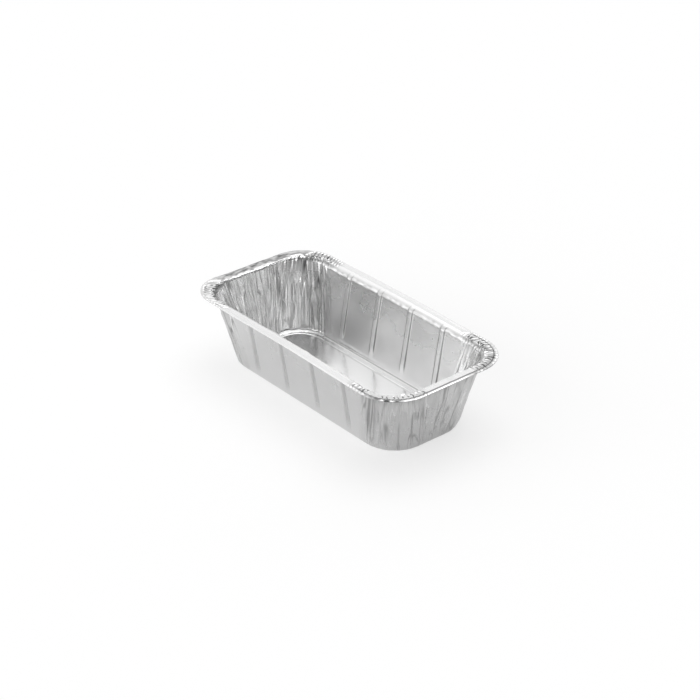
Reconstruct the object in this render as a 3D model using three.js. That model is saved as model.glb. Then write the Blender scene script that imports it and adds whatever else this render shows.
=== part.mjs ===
import * as THREE from 'three';

// Outline over the rolled rim, in millimetres
const RIM_LENGTH = 322;
const RIM_WIDTH = 161.6;
const RIM_CORNER = 42;
const HEIGHT = 78;

// Lean of the walls from upright, in degrees, and the corner radius at their foot and at the mouth
const LONG_DRAFT = 9.8;
const END_DRAFT = 11.4;
const FOOT_CORNER = 36;
const MOUTH_CORNER = 32;

// Foil gauge, bends, flange from the mouth to the outside, and the flattened roll at its edge
const FOIL = 0.1;
const BOTTOM_BEND = 4;
const TOP_BEND = 7;
const FLANGE = 13.6;
const CURL_WIDTH = 4.4;
const CURL_DROP = 1.6;
const CURL_TURN = 250;

// Stand ring under the edge of the floor, and the step up to the floor panel
const RING = 3;
const STEP = 1.6;
const STEP_RUN = 2.6;

// Upright ribs pressed into the long walls
const RIBS = 4;
const RIB_WIDTH = 6;
const RIB_DEPTH = 1.4;
const RIB_START = 5;
const RIB_FULL = 18;

// Foil gathered into pleats at the corners and end walls, and crimped on the flange
const CORNER_PLEATS = 10;
const CORNER_PLEAT_DEPTH = 1.3;
const END_PLEATS = 8;
const END_PLEAT_DEPTH = 1;
const CRIMP_DEPTH = 0.6;
const PLEAT_FULL = 50;

// Facets along each stretch of the profile and across a rib
const STEP_FACETS = 3;
const BEND_FACETS = 3;
const WALL_FACETS = 4;
const TOP_FACETS = 4;
const FLANGE_FACETS = 2;
const CURL_FACETS = 7;
const RIB_FACETS = 6;

// Sizes that follow from those above
const SHEET_TOP = HEIGHT - FOIL;
const LONG_RUN = SHEET_TOP * Math.tan(THREE.MathUtils.degToRad(LONG_DRAFT));
const END_RUN = SHEET_TOP * Math.tan(THREE.MathUtils.degToRad(END_DRAFT));
const FOOT_LENGTH = RIM_LENGTH - 2 * (FLANGE + END_RUN);
const FOOT_WIDTH = RIM_WIDTH - 2 * (FLANGE + LONG_RUN);
const FOOT_RADIUS = Math.min(FOOT_CORNER, 0.45 * FOOT_WIDTH);
const CORNER_GROWTH = (RIM_CORNER - MOUTH_CORNER) / FLANGE;
const RIB_PITCH = (FOOT_LENGTH - 2 * FOOT_RADIUS) / RIBS;

// Where each zone of the sheet begins and ends, counted in stations of the profile
const FLOOR_END = STEP_FACETS + 1;
const WALL_END = FLOOR_END + BEND_FACETS + WALL_FACETS + TOP_FACETS;
const FLANGE_END = WALL_END + FLANGE_FACETS;
const CURL_END = FLANGE_END + CURL_FACETS;

// The four sides in order, seen from above and going anticlockwise from the front
const SIDES = [
  { name: 'front', long: true, along: [1, 0], outward: [0, -1] },
  { name: 'right', long: false, along: [0, 1], outward: [1, 0] },
  { name: 'back', long: true, along: [-1, 0], outward: [0, 1] },
  { name: 'left', long: false, along: [0, -1], outward: [-1, 0] },
];
const CORNERS = ['front_right', 'back_right', 'back_left', 'front_left'];

/** Points of one stretch of the profile, from 0 to 1 in equal shares, without its first. */
function stretch(facets, point) {
  return Array.from({ length: facets }, (_, k) => point((k + 1) / facets));
}

/** Section of the sheet from the floor panel to the free edge: out from the foot of the wall, and up. */
function profile(draft, run) {
  const lean = Math.PI / 2 - THREE.MathUtils.degToRad(draft);
  const low = BOTTOM_BEND * Math.tan(lean / 2);
  const high = TOP_BEND * Math.tan(lean / 2);
  const rollOut = CURL_WIDTH / 2 - FOIL;
  const rollDown = CURL_DROP / 2 - FOIL;
  const turn = THREE.MathUtils.degToRad(CURL_TURN);
  const bendTop = [BOTTOM_BEND * Math.sin(lean) - low, BOTTOM_BEND * (1 - Math.cos(lean))];
  const wallTop = [run + high - TOP_BEND * Math.sin(lean), SHEET_TOP - TOP_BEND * (1 - Math.cos(lean))];
  const flangeStart = run + high;
  const flangeEnd = run + FLANGE - CURL_WIDTH / 2;
  const stepDown = (t) => [
    -low - RING - STEP_RUN * (1 - t),
    STEP * 0.5 * (1 + Math.cos(Math.PI * t)),
  ];
  const bottomBend = (t) => [
    BOTTOM_BEND * Math.sin(lean * t) - low,
    BOTTOM_BEND * (1 - Math.cos(lean * t)),
  ];
  const wall = (t) => [
    THREE.MathUtils.lerp(bendTop[0], wallTop[0], t),
    THREE.MathUtils.lerp(bendTop[1], wallTop[1], t),
  ];
  const topBend = (t) => [
    flangeStart - TOP_BEND * Math.sin(lean * (1 - t)),
    SHEET_TOP - TOP_BEND * (1 - Math.cos(lean * (1 - t))),
  ];
  const flange = (t) => [THREE.MathUtils.lerp(flangeStart, flangeEnd, t), SHEET_TOP];
  const curl = (t) => [
    flangeEnd + rollOut * Math.sin(turn * t),
    SHEET_TOP - rollDown * (1 - Math.cos(turn * t)),
  ];
  return [
    stepDown(0),
    ...stretch(STEP_FACETS, stepDown),
    [-low, 0],
    ...stretch(BEND_FACETS, bottomBend),
    ...stretch(WALL_FACETS, wall),
    ...stretch(TOP_FACETS, topBend),
    ...stretch(FLANGE_FACETS, flange),
    ...stretch(CURL_FACETS, curl),
  ];
}

const LONG_PROFILE = profile(LONG_DRAFT, LONG_RUN);
const END_PROFILE = profile(END_DRAFT, END_RUN);

/** Height of a station above the table, with the floor taken as level with the table. */
function wallHeight(row) {
  const up = (LONG_PROFILE[row][1] + END_PROFILE[row][1]) / 2;
  return row >= WALL_END ? SHEET_TOP : row <= FLOOR_END ? 0 : up;
}

/** Rounded rectangle that the sheet follows at a station: half sizes and corner radius. */
function outline(row) {
  const share = wallHeight(row) / SHEET_TOP;
  const longOut = LONG_PROFILE[row][0];
  const endOut = END_PROFILE[row][0];
  const beyond = (longOut + endOut - share * (LONG_RUN + END_RUN)) / 2;
  return {
    halfLength: FOOT_LENGTH / 2 + endOut,
    halfWidth: FOOT_WIDTH / 2 + longOut,
    radius: THREE.MathUtils.lerp(FOOT_RADIUS, MOUTH_CORNER, share) + beyond * CORNER_GROWTH,
  };
}

/** Share of the bend below the flange at a station, 0 on the wall and 1 on the flange. */
function bendShare(row) {
  return THREE.MathUtils.clamp((row - WALL_END + TOP_FACETS) / TOP_FACETS, 0, 1);
}

/** A rib stands into the pan over the wall and runs out at the foot and the flange. */
function ribPush(wave, row) {
  const rise = THREE.MathUtils.smoothstep(wallHeight(row), RIB_START, RIB_FULL);
  return row < WALL_END ? [-wave * RIB_DEPTH * rise * (1 - bendShare(row)), 0] : [0, 0];
}

/** End wall pleats open upward and close again at the flange. */
function endPush(wave, row) {
  const rise = THREE.MathUtils.smoothstep(wallHeight(row), 0, PLEAT_FULL);
  return row < WALL_END ? [wave * END_PLEAT_DEPTH * rise * (1 - bendShare(row)), 0] : [0, 0];
}

/** Corner pleats open upward and cross the flange as crimps sunk below its top. */
function cornerPush(wave, row) {
  const rise = THREE.MathUtils.smoothstep(wallHeight(row), 0, PLEAT_FULL);
  const bend = bendShare(row);
  const level = wave * CORNER_PLEAT_DEPTH * rise * (1 - bend);
  const sunk = Math.min(wave, 0) * CRIMP_DEPTH * bend;
  return row < FLANGE_END ? [level, sunk] : [0, 0];
}

/** Columns of a long side: its two seams, and a raised cosine across each rib. */
function longColumns(side) {
  const width = Math.min(RIB_WIDTH, 0.8 * RIB_PITCH);
  const columns = [{ side, share: 0, wave: 0, push: ribPush }];
  for (let rib = 0; rib < RIBS; rib += 1) {
    const middle = (rib - (RIBS - 1) / 2) * RIB_PITCH;
    for (let k = 0; k <= RIB_FACETS; k += 1) {
      const t = k / RIB_FACETS;
      const wave = 0.5 - 0.5 * Math.cos(2 * Math.PI * t);
      columns.push({ side, at: middle + (t - 0.5) * width, wave, push: ribPush });
    }
  }
  columns.push({ side, share: 1, wave: 0, push: ribPush });
  return columns;
}

/** Shares along a gathered stretch, one at each crest and hollow, with level ends. */
function pleatShares(pleats) {
  const crests = Array.from({ length: 2 * pleats }, (_, k) => ({
    share: (k + 0.5) / (2 * pleats),
    wave: k % 2 ? -1 : 1,
  }));
  return [{ share: 0, wave: 0 }, ...crests, { share: 1, wave: 0 }];
}

/** Columns of an end side, one at each crest and hollow of its pleats. */
function endColumns(side) {
  return pleatShares(END_PLEATS).map(({ share, wave }) => ({ side, share, wave, push: endPush }));
}

/** Columns of the corner that follows a side, one at each crest and hollow of its pleats. */
function cornerColumns(side) {
  return pleatShares(CORNER_PLEATS).map(({ share, wave }) => ({
    side,
    angle: (share * Math.PI) / 2,
    wave,
    push: cornerPush,
  }));
}

/** Sections of a column's own side and of the side that a corner turns to. */
function sections(column) {
  return SIDES[column.side].long ? [LONG_PROFILE, END_PROFILE] : [END_PROFILE, LONG_PROFILE];
}

/** Share of the corner that a column has turned through, 0 on a straight side. */
function turned(column) {
  return (2 * (column.angle ?? 0)) / Math.PI;
}

/** Plain place of a column at a station, with its outward direction and height. */
function place(column, row) {
  const side = SIDES[column.side];
  const { halfLength, halfWidth, radius } = outline(row);
  const reach = (side.long ? halfWidth : halfLength) - radius;
  const half = (side.long ? halfLength : halfWidth) - radius;
  const along = column.at ?? THREE.MathUtils.lerp(-half, half, column.share ?? 1);
  const angle = column.angle ?? 0;
  const [own, next] = sections(column);
  const out = [0, 1].map((k) => side.outward[k] * Math.cos(angle) + side.along[k] * Math.sin(angle));
  const spot = [0, 1].map((k) => side.along[k] * along + side.outward[k] * reach + out[k] * radius);
  const up = THREE.MathUtils.lerp(own[row][1], next[row][1], turned(column));
  return { spot, out, up };
}

/** Direction of one facet of a section, from a station to the next. */
function heading(section, row) {
  const start = section[THREE.MathUtils.clamp(row, 0, CURL_END - 1)];
  const end = section[THREE.MathUtils.clamp(row, 0, CURL_END - 1) + 1];
  return new THREE.Vector2(end[0] - start[0], end[1] - start[1]).normalize();
}

/** Direction square to a section at a station, out of the pan, as outward and upward shares. */
function square(section, row) {
  const before = row === 0 ? new THREE.Vector2(1, 0) : heading(section, row - 1);
  const middle = before.add(heading(section, row)).normalize();
  return row === 0 ? [0, -1] : [middle.y, -middle.x];
}

/** Direction square to the plain sheet where a column crosses a station. */
function plainFacing(column, row) {
  const [own, next] = sections(column);
  const { out } = place(column, row);
  const here = new THREE.Vector2(...square(own, row));
  here.lerp(new THREE.Vector2(...square(next, row)), turned(column));
  return new THREE.Vector3(out[0] * here.x, out[1] * here.x, here.y).normalize();
}

/** Point of the sheet's outer skin, moved by the rib or pleat that passes there. */
function skinPoint(column, row) {
  const { spot, out, up } = place(column, row);
  const [level, rise] = column.push(column.wave, row);
  return new THREE.Vector3(spot[0] + out[0] * level, spot[1] + out[1] * level, up + rise);
}

const BANDS = SIDES.flatMap((side, k) => [
  { name: side.name, columns: side.long ? longColumns(k) : endColumns(k), corner: false },
  { name: CORNERS[k], columns: cornerColumns(k), corner: true },
]);
const COLUMNS = BANDS.flatMap((band) => band.columns.slice(0, -1));
const ROWS = Array.from({ length: CURL_END + 1 }, (_, row) => row);
const OUTER = ROWS.map((row) => COLUMNS.map((column) => skinPoint(column, row)));

/** Direction out of the pan at a grid point: plain, or summed over the facets of a rib or pleat. */
function facing(row, k) {
  const [level, rise] = COLUMNS[k].push(COLUMNS[k].wave, row);
  if (level === 0 && rise === 0) {
    return plainFacing(COLUMNS[k], row);
  }
  const count = COLUMNS.length;
  const here = OUTER[row][k];
  const right = OUTER[row][(k + 1) % count];
  const left = OUTER[row][(k + count - 1) % count];
  const above = OUTER[row + 1][k];
  const below = OUTER[row - 1][k];
  const sum = new THREE.Vector3();
  [[right, above], [above, left], [left, below], [below, right]].forEach(([first, second]) => {
    sum.add(first.clone().sub(here).cross(second.clone().sub(here)));
  });
  return sum.normalize();
}

const INNER = OUTER.map((line, row) =>
  line.map((point, k) => point.clone().addScaledVector(facing(row, k), -FOIL)),
);

/** Closed solid from numbered points and triangles. */
function solid(points, triangles) {
  const geometry = new THREE.BufferGeometry();
  const places = points.flatMap((point) => point.toArray());
  geometry.setAttribute('position', new THREE.Float32BufferAttribute(places, 3));
  geometry.setIndex(triangles);
  geometry.computeVertexNormals();
  return geometry;
}

/** Two triangles over four corners given in order. */
function quad(a, b, c, d) {
  return [a, b, c, a, c, d];
}

/** Both skins of a patch of the sheet, rows first to last and the listed columns. */
function skins(first, last, picked) {
  const rows = ROWS.slice(first, last + 1);
  const pick = (grid) => rows.flatMap((row) => picked.map((k) => grid[row][k]));
  return [...pick(OUTER), ...pick(INNER)];
}

/** Triangles of both skins of a patch, the outer one facing out of the pan. */
function skinFaces(height, width, at) {
  const faces = [];
  for (let i = 0; i < height; i += 1) {
    for (let j = 0; j < width; j += 1) {
      faces.push(...quad(at(0, i, j), at(0, i, j + 1), at(0, i + 1, j + 1), at(0, i + 1, j)));
      faces.push(...quad(at(1, i, j), at(1, i + 1, j), at(1, i + 1, j + 1), at(1, i, j + 1)));
    }
  }
  return faces;
}

/** Patch of the sheet with its own four edges. */
function patch(first, last, picked) {
  const height = last - first;
  const width = picked.length - 1;
  const skin = (height + 1) * picked.length;
  const at = (side, i, j) => side * skin + i * picked.length + j;
  const faces = skinFaces(height, width, at);
  for (let j = 0; j < width; j += 1) {
    faces.push(...quad(at(1, 0, j), at(1, 0, j + 1), at(0, 0, j + 1), at(0, 0, j)));
    faces.push(...quad(at(0, height, j), at(0, height, j + 1), at(1, height, j + 1), at(1, height, j)));
  }
  for (let i = 0; i < height; i += 1) {
    faces.push(...quad(at(0, i, 0), at(0, i + 1, 0), at(1, i + 1, 0), at(1, i, 0)));
    faces.push(...quad(at(1, i, width), at(1, i + 1, width), at(0, i + 1, width), at(0, i, width)));
  }
  return solid(skins(first, last, picked), faces);
}

/** Floor of the pan: the raised panel, the step down round it and the stand ring. */
function floorSolid(picked) {
  const around = picked.length;
  const skin = (FLOOR_END + 1) * around;
  const at = (side, i, j) => side * skin + i * around + (j % around);
  const edge = (side, j) => at(side, FLOOR_END, j);
  const faces = skinFaces(FLOOR_END, around, at);
  const middle = 2 * skin;
  for (let j = 0; j < around; j += 1) {
    faces.push(...quad(edge(0, j), edge(0, j + 1), edge(1, j + 1), edge(1, j)));
    faces.push(middle, at(0, 0, j + 1), at(0, 0, j));
    faces.push(middle + 1, at(1, 0, j), at(1, 0, j + 1));
  }
  const middles = [new THREE.Vector3(0, 0, STEP), new THREE.Vector3(0, 0, STEP + FOIL)];
  return solid([...skins(0, FLOOR_END, picked), ...middles], faces);
}

/** Soft bright finish of rolled aluminium foil. */
function foilMaterial() {
  return new THREE.MeshStandardMaterial({ color: 0xc9cbcd, metalness: 1, roughness: 0.35 });
}

/** Named node of the pan. */
function node(name, geometry) {
  const mesh = new THREE.Mesh(geometry, foilMaterial());
  mesh.name = name;
  return mesh;
}

/** Column numbers of a band, the first column of the next band included. */
function bandColumns(index) {
  const start = BANDS.slice(0, index).reduce((sum, band) => sum + band.columns.length - 1, 0);
  return BANDS[index].columns.map((_, k) => (start + k) % COLUMNS.length);
}

/** First and last column of a straight band, or every column of a corner. */
function sparse(index) {
  const columns = bandColumns(index);
  return BANDS[index].corner ? columns : [columns[0], columns.at(-1)];
}

/** Wall, flange and rolled edge along one side or corner. */
function bandNodes(band, index) {
  const wallName = band.corner ? 'corner' : SIDES[index / 2].long ? 'wall' : 'end_wall';
  const ending = band.corner ? '_corner' : '';
  return [
    node(`${band.name}_${wallName}`, patch(FLOOR_END, WALL_END, bandColumns(index))),
    node(`${band.name}_flange${ending}`, patch(WALL_END, FLANGE_END, sparse(index))),
    node(`${band.name}_rim_curl${ending}`, patch(FLANGE_END, CURL_END, sparse(index))),
  ];
}

/** The whole pan, standing on its ring with the long sides along X. */
function pan() {
  const group = new THREE.Group();
  group.name = 'foil_steam_table_pan';
  const floorColumns = BANDS.flatMap((_, index) => sparse(index).slice(0, -1));
  group.add(node('base_panel', floorSolid(floorColumns)));
  BANDS.forEach((band, index) => group.add(...bandNodes(band, index)));
  return group;
}

export default pan();
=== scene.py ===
"""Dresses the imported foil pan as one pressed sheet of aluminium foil.

The sheet is a surface of two parameters, round the pan and along its section. It is worked out once
as whole arrays, ribbed, pleated and dented, given its thickness, and cut into the zones of the frame.
"""

import logging
import math
from dataclasses import dataclass
from enum import Enum

import bpy
import numpy as np
from mathutils import Matrix, Vector


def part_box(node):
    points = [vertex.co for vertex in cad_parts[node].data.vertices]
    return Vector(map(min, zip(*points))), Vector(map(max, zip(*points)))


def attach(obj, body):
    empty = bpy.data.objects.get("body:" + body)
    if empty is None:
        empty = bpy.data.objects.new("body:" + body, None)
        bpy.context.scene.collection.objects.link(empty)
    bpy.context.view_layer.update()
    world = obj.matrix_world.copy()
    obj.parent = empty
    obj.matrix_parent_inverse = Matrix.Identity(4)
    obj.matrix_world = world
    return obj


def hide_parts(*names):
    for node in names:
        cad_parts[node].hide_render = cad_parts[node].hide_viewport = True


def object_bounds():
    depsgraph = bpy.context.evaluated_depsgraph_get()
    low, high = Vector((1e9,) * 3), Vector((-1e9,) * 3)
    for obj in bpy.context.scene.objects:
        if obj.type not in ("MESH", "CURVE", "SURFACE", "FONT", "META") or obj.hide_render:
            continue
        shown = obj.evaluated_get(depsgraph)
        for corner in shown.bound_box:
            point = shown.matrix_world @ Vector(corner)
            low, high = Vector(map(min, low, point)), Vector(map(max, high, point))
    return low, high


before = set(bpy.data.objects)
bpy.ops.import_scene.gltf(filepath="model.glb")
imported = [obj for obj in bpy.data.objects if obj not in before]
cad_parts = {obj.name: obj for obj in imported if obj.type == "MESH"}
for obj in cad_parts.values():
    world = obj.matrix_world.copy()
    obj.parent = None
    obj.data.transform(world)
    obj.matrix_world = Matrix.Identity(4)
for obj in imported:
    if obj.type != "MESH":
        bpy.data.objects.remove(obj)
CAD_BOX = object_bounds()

LOG = logging.getLogger("foil_pan")
MM = 0.001
# Values that each point of a mesh holds for its material.
SIDE = "inside"
# Painted light on the foil: painted shade that darkens its grey and, below 0, a painted highlight that
# brightens it.
PAINTED_LIGHT = "painted_light"
# Rows of an array that has values for both sides of the sheet.
OUTSIDE, INSIDE = 0, 1
# Where an ease starts and where it ends.
Span = tuple[float, float]


class Zone(Enum):
    """Zones of the sheet between its bends, from the foot of the walls to the free edge."""

    WALL = "wall"
    FLANGE = "flange"
    CURL = "rim_curl"


class Stretch(Enum):
    """Kinds of stretch that the sheet is made of round the pan."""

    LONG = "wall"
    END = "end_wall"
    CORNER = "corner"


def smooth(low: float | np.ndarray, high: float | np.ndarray, value: np.ndarray) -> np.ndarray:
    """Ease from 0 at low to 1 at high, by 3t^2 - 2t^3.

    Args:
        low: Value at which the ease starts.
        high: Value at which it ends.
        value: Values to ease.

    Returns:
        Array of eased values between 0 and 1.
    """
    t = np.clip((value - low) / (high - low), 0.0, 1.0)
    return t * t * (3.0 - 2.0 * t)


def bell(value: np.ndarray, half: float) -> np.ndarray:
    """Bell curve by exp(-(value / half)^2), 1 where the value is 0."""
    return np.exp(-((value / half) ** 2))


@dataclass(frozen=True)
class RandomField:
    """Smooth random field on a plane that closes on itself across.

    Attributes:
        seed: Seed of the lattice values, so that each run gives the same field.
        across: Number of cells after which the field repeats across.
        along: Number of cells after which it repeats along.
    """

    seed: int
    across: int
    along: int = 64

    def at(self, u: np.ndarray, v: np.ndarray) -> np.ndarray:
        """Lattice values from -1 to 1, blended by 3t^2 - 2t^3 both ways.

        Args:
            u: Places across, in cells.
            v: Places along, in cells.

        Returns:
            Field values at those places.
        """
        u, v = np.broadcast_arrays(u, v)
        table = np.random.default_rng(self.seed).uniform(-1.0, 1.0, (self.along, self.across))
        iu, iv = np.floor(u).astype(int), np.floor(v).astype(int)
        fu, fv = smooth(0.0, 1.0, u - iu), smooth(0.0, 1.0, v - iv)
        u0, u1 = iu % self.across, (iu + 1) % self.across
        v0, v1 = iv % self.along, (iv + 1) % self.along
        low = table[v0, u0] * (1.0 - fu) + table[v0, u1] * fu
        high = table[v1, u0] * (1.0 - fu) + table[v1, u1] * fu
        return low * (1.0 - fv) + high * fv


@dataclass(frozen=True)
class PanSizes:
    """Sizes of the pressed sheet in metres and degrees.

    Attributes:
        rim_length: Length over the rolled rim.
        rim_width: Width over the rolled rim.
        height: Height of the flange above the table.
        curl_drop: Thickness of the flattened roll at the edge.
        step: Rise of the floor panel above the stand ring.
        rim_corner: Corner radius of the rim, outside.
        mouth_corner: Corner radius where the walls would meet the flange.
        foot_corner: Corner radius where the walls would meet the table.
        flange: From the mouth of the pan to the outside of the rim.
        curl_width: Width of the flattened roll.
        long_draft: Lean of the long walls from upright.
        end_draft: Lean of the end walls from upright.
        bottom_bend: Radius of the bend at the foot of the walls.
        top_bend: Radius of the bend below the flange of the long sides.
        end_bend: Radius of the bend below the flange of the ends.
        ring: Width of the stand ring.
        step_run: Width of the slope between ring and panel.
        foil: Thickness of the foil.
        curl_turn: How far the edge is rolled.
    """

    rim_length: float
    rim_width: float
    height: float
    curl_drop: float
    step: float
    rim_corner: float = 42.0 * MM
    mouth_corner: float = 32.0 * MM
    foot_corner: float = 36.0 * MM
    flange: float = 13.6 * MM
    curl_width: float = 4.4 * MM
    long_draft: float = 9.8
    end_draft: float = 11.4
    bottom_bend: float = 4.0 * MM
    top_bend: float = 7.0 * MM
    end_bend: float = 2.8 * MM
    ring: float = 3.0 * MM
    step_run: float = 2.6 * MM
    foil: float = 0.1 * MM
    curl_turn: float = 250.0

    @classmethod
    def from_frame(cls) -> "PanSizes":
        """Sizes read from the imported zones."""
        low, high = CAD_BOX
        curl_low, curl_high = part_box("front_rim_curl")
        floor_low, floor_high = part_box("base_panel")
        return cls(
            rim_length=high[0] - low[0],
            rim_width=high[1] - low[1],
            height=high[2] - low[2],
            curl_drop=curl_high[2] - curl_low[2],
            step=floor_high[2] - floor_low[2] - cls.foil,
        )

    @property
    def sheet_top(self) -> float:
        """Height of the underside of the flange."""
        return self.height - self.foil

    def run(self, draft: float) -> float:
        """How far a wall of that draft leans out over its height."""
        return self.sheet_top * math.tan(math.radians(draft))

    @property
    def foot_half(self) -> tuple[float, float]:
        """Half length and half width where the walls would meet the table."""
        return (
            self.rim_length / 2 - self.flange - self.run(self.end_draft),
            self.rim_width / 2 - self.flange - self.run(self.long_draft),
        )


@dataclass(frozen=True)
class Section:
    """Section of the sheet at each station, from the foot of the wall to the free edge.

    Attributes:
        out: Distance out from the foot of the wall.
        up: Height above the table.
    """

    out: np.ndarray
    up: np.ndarray

    BEND_FACETS = 12
    WALL_FACETS = 60
    TOP_FACETS = 32
    FLANGE_FACETS = 18
    CURL_FACETS = 18

    @classmethod
    def rows(cls) -> dict[Zone, tuple[int, int]]:
        """First and last station of each zone."""
        wall = cls.BEND_FACETS + cls.WALL_FACETS + cls.TOP_FACETS
        flange = wall + cls.FLANGE_FACETS
        return {
            Zone.WALL: (0, wall),
            Zone.FLANGE: (wall, flange),
            Zone.CURL: (flange, flange + cls.CURL_FACETS),
        }

    @classmethod
    def of(cls, sizes: PanSizes, draft: float, bend: float) -> "Section":
        """Arc at the foot, straight wall, arc to the level flange, and a flat ellipse rolled under it.

        Args:
            sizes: Sizes of the pan.
            draft: Lean of this wall from upright, in degrees.
            bend: Radius of the bend below its flange.

        Returns:
            The section, with its stations evenly spaced in each stretch.
        """
        lean = math.pi / 2 - math.radians(draft)
        run = sizes.run(draft)
        low = sizes.bottom_bend * math.tan(lean / 2)
        high = bend * math.tan(lean / 2)
        foot = np.linspace(0.0, lean, cls.BEND_FACETS + 1)
        head = np.linspace(lean, 0.0, cls.TOP_FACETS + 1)
        roll = np.linspace(0.0, math.radians(sizes.curl_turn), cls.CURL_FACETS + 1)[1:]
        roll_wide, roll_deep = sizes.curl_width / 2 - sizes.foil, sizes.curl_drop / 2 - sizes.foil
        foot_out, foot_up = sizes.bottom_bend * np.sin(foot) - low, sizes.bottom_bend * (1 - np.cos(foot))
        head_out = run + high - bend * np.sin(head)
        head_up = sizes.sheet_top - bend * (1 - np.cos(head))
        edge = run + sizes.flange - sizes.curl_width / 2
        wall_out = np.linspace(foot_out[-1], head_out[0], cls.WALL_FACETS + 1)[1:-1]
        wall_up = np.linspace(foot_up[-1], head_up[0], cls.WALL_FACETS + 1)[1:-1]
        flange_out = np.linspace(head_out[-1], edge, cls.FLANGE_FACETS + 1)[1:]
        flange_up = np.full_like(flange_out, sizes.sheet_top)
        roll_out = edge + roll_wide * np.sin(roll)
        roll_up = sizes.sheet_top - roll_deep * (1 - np.cos(roll))
        return cls(
            np.concatenate([foot_out, wall_out, head_out, flange_out, roll_out]),
            np.concatenate([foot_up, wall_up, head_up, flange_up, roll_up]),
        )


@dataclass(frozen=True)
class Band:
    """One straight side or one corner of the pan, seen from above and going anticlockwise.

    Attributes:
        name: Name that the frame's zones start with.
        kind: Kind of stretch.
        along: Direction along the side, or along the side before the corner.
        outward: Direction out of that side.
        facets: Number of facets along it.
    """

    name: str
    kind: Stretch
    along: tuple[float, float]
    outward: tuple[float, float]
    facets: int


LONG_FACETS, END_FACETS, CORNER_FACETS = 380, 200, 160
BANDS = (
    Band("front", Stretch.LONG, (1, 0), (0, -1), LONG_FACETS),
    Band("front_right", Stretch.CORNER, (1, 0), (0, -1), CORNER_FACETS),
    Band("right", Stretch.END, (0, 1), (1, 0), END_FACETS),
    Band("back_right", Stretch.CORNER, (0, 1), (1, 0), CORNER_FACETS),
    Band("back", Stretch.LONG, (-1, 0), (0, 1), LONG_FACETS),
    Band("back_left", Stretch.CORNER, (-1, 0), (0, 1), CORNER_FACETS),
    Band("left", Stretch.END, (0, -1), (-1, 0), END_FACETS),
    Band("front_left", Stretch.CORNER, (0, -1), (-1, 0), CORNER_FACETS),
)


@dataclass
class Columns:
    """Lines of the sheet that run up its section, all round the pan.

    Attributes:
        along: Direction along each line's side.
        outward: Direction out of each line's side.
        angle: How far round its corner a line stands, 0 on a side.
        share: How far along its side a line stands, from 0 to 1.
        long_side: Whether the line's own side is a long one.
        corner: Whether the line stands in a corner.
    """

    along: np.ndarray
    outward: np.ndarray
    angle: np.ndarray
    share: np.ndarray
    long_side: np.ndarray
    corner: np.ndarray

    @classmethod
    def all_round(cls) -> "Columns":
        """The lines of every band, each band without its last, which starts the next band."""
        steps = [np.arange(band.facets) / band.facets for band in BANDS]
        corner = [np.full(band.facets, band.kind is Stretch.CORNER) for band in BANDS]
        turned = np.concatenate(corner)
        share = np.concatenate(steps)
        return cls(
            along=np.concatenate([np.tile(band.along, (band.facets, 1)) for band in BANDS]).astype(float),
            outward=np.concatenate([np.tile(band.outward, (band.facets, 1)) for band in BANDS]).astype(float),
            angle=np.where(turned, share * math.pi / 2, 0.0),
            share=np.where(turned, 1.0, share),
            long_side=np.concatenate([np.full(band.facets, band.outward[0] == 0) for band in BANDS]),
            corner=turned,
        )

    @property
    def out(self) -> np.ndarray:
        """Level direction out of the pan at each line."""
        return self.outward * np.cos(self.angle)[:, None] + self.along * np.sin(self.angle)[:, None]


@dataclass(frozen=True)
class Noise:
    """A random field laid on the sheet.

    Attributes:
        seed: Seed of the field.
        pitch: Size of its cells round the pan.
        length: Size of its cells up the section.
        middle: Middle of its values.
        spread: How far they change from the middle.
    """

    seed: int
    pitch: float
    length: float
    middle: float = 0.0
    spread: float = 1.0


@dataclass(frozen=True)
class Line:
    """A line pressed into the foil, or a line of painted shade or highlight on it, with a bell for its
    section.

    Attributes:
        at: Place of its middle.
        half: Half width.
        height: What it measures in the middle, a depth or the strength of a painted shade or highlight.
    """

    at: float
    half: float
    height: float

    def over(self, value: np.ndarray) -> np.ndarray:
        """What the line measures at those places."""
        return self.height * bell(value - self.at, self.half)


@dataclass(frozen=True)
class Window:
    """A stretch that eases in over one span of a value and out again over another.

    Attributes:
        rise: Span over which it eases in.
        fall: Span over which it eases out.
    """

    rise: Span
    fall: Span

    def over(self, value: np.ndarray) -> np.ndarray:
        """Ease from 0 to 1 and back at those values."""
        return smooth(*self.rise, value) * (1.0 - smooth(*self.fall, value))


@dataclass(frozen=True)
class RibMarks:
    """Ribs pressed into the long walls, with painted shade along them.

    Attributes:
        count: Ribs on each long wall.
        core: Half width of the flat crest.
        half: Half width at the root.
        depth: How far a rib stands into the pan.
        rise: Heights between which it rises from the wall.
        fall: Where it runs out, along the section from the flange, in radii of the bend there.
        crest_painted_shade: Painted shade on the crest outside.
        flank_painted_shade: Painted shade on the flanks inside, for the shadow beside each rib.
    """

    count: int = 4
    core: float = 2.1 * MM
    half: float = 4.3 * MM
    depth: float = 1.3 * MM
    rise: Span = (5.0 * MM, 18.0 * MM)
    fall: Span = (-1.3, -0.1)
    crest_painted_shade: float = 0.25
    flank_painted_shade: float = 0.95


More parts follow.
